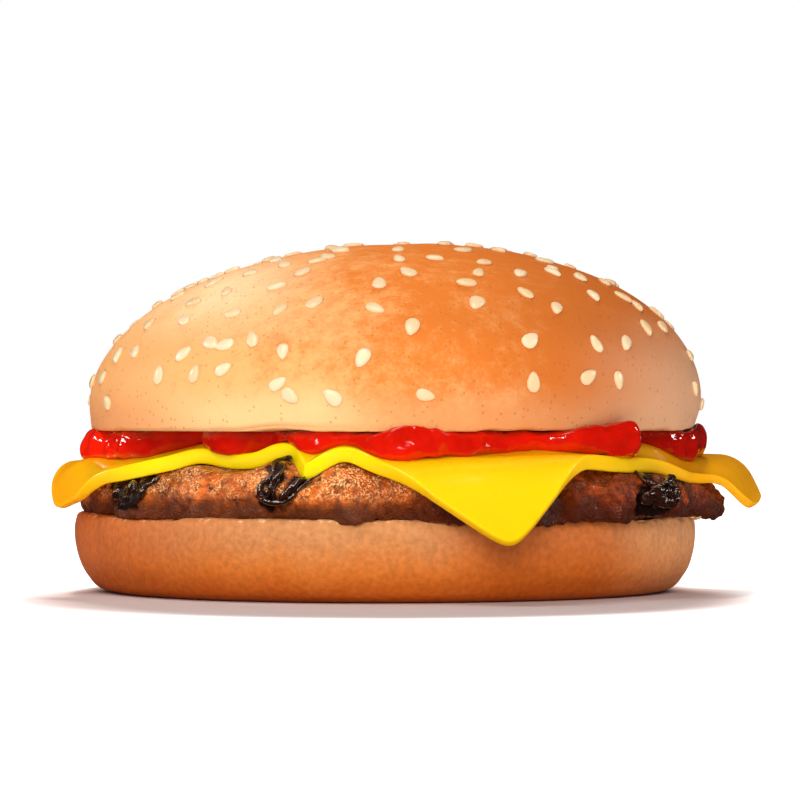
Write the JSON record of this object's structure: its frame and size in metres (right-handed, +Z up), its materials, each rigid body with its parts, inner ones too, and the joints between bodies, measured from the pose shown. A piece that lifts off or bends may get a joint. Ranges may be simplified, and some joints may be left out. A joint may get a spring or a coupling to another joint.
{
  "type": "hamburger",
  "caption": "Round sesame bun with a grilled beef patty, one draped slice of processed cheese and ketchup, stacked and ready to serve.",
  "frame": {"origin": "middle of the flat underside of the lower bun", "axes": "+Z up, -Y to the front, which the picture shows, +X to the right seen from the front"},
  "size_m": [0.1128, 0.1119, 0.0549],
  "materials": {
    "bun_base": "toasted bread, dry",
    "meat": "grilled mince, moist in places",
    "cheese": "waxy, smooth",
    "ketchup": "wet, shiny",
    "bun_crust": "baked crust, satin, with cream-coloured sesame seeds"
  },
  "bodies": {
    "root": {"bun_heel": "bun_base", "patty": "meat", "cheese_slice": "cheese", "ketchup": "ketchup", "bun_crown": "bun_crust"}
  },
  "joints": []
}
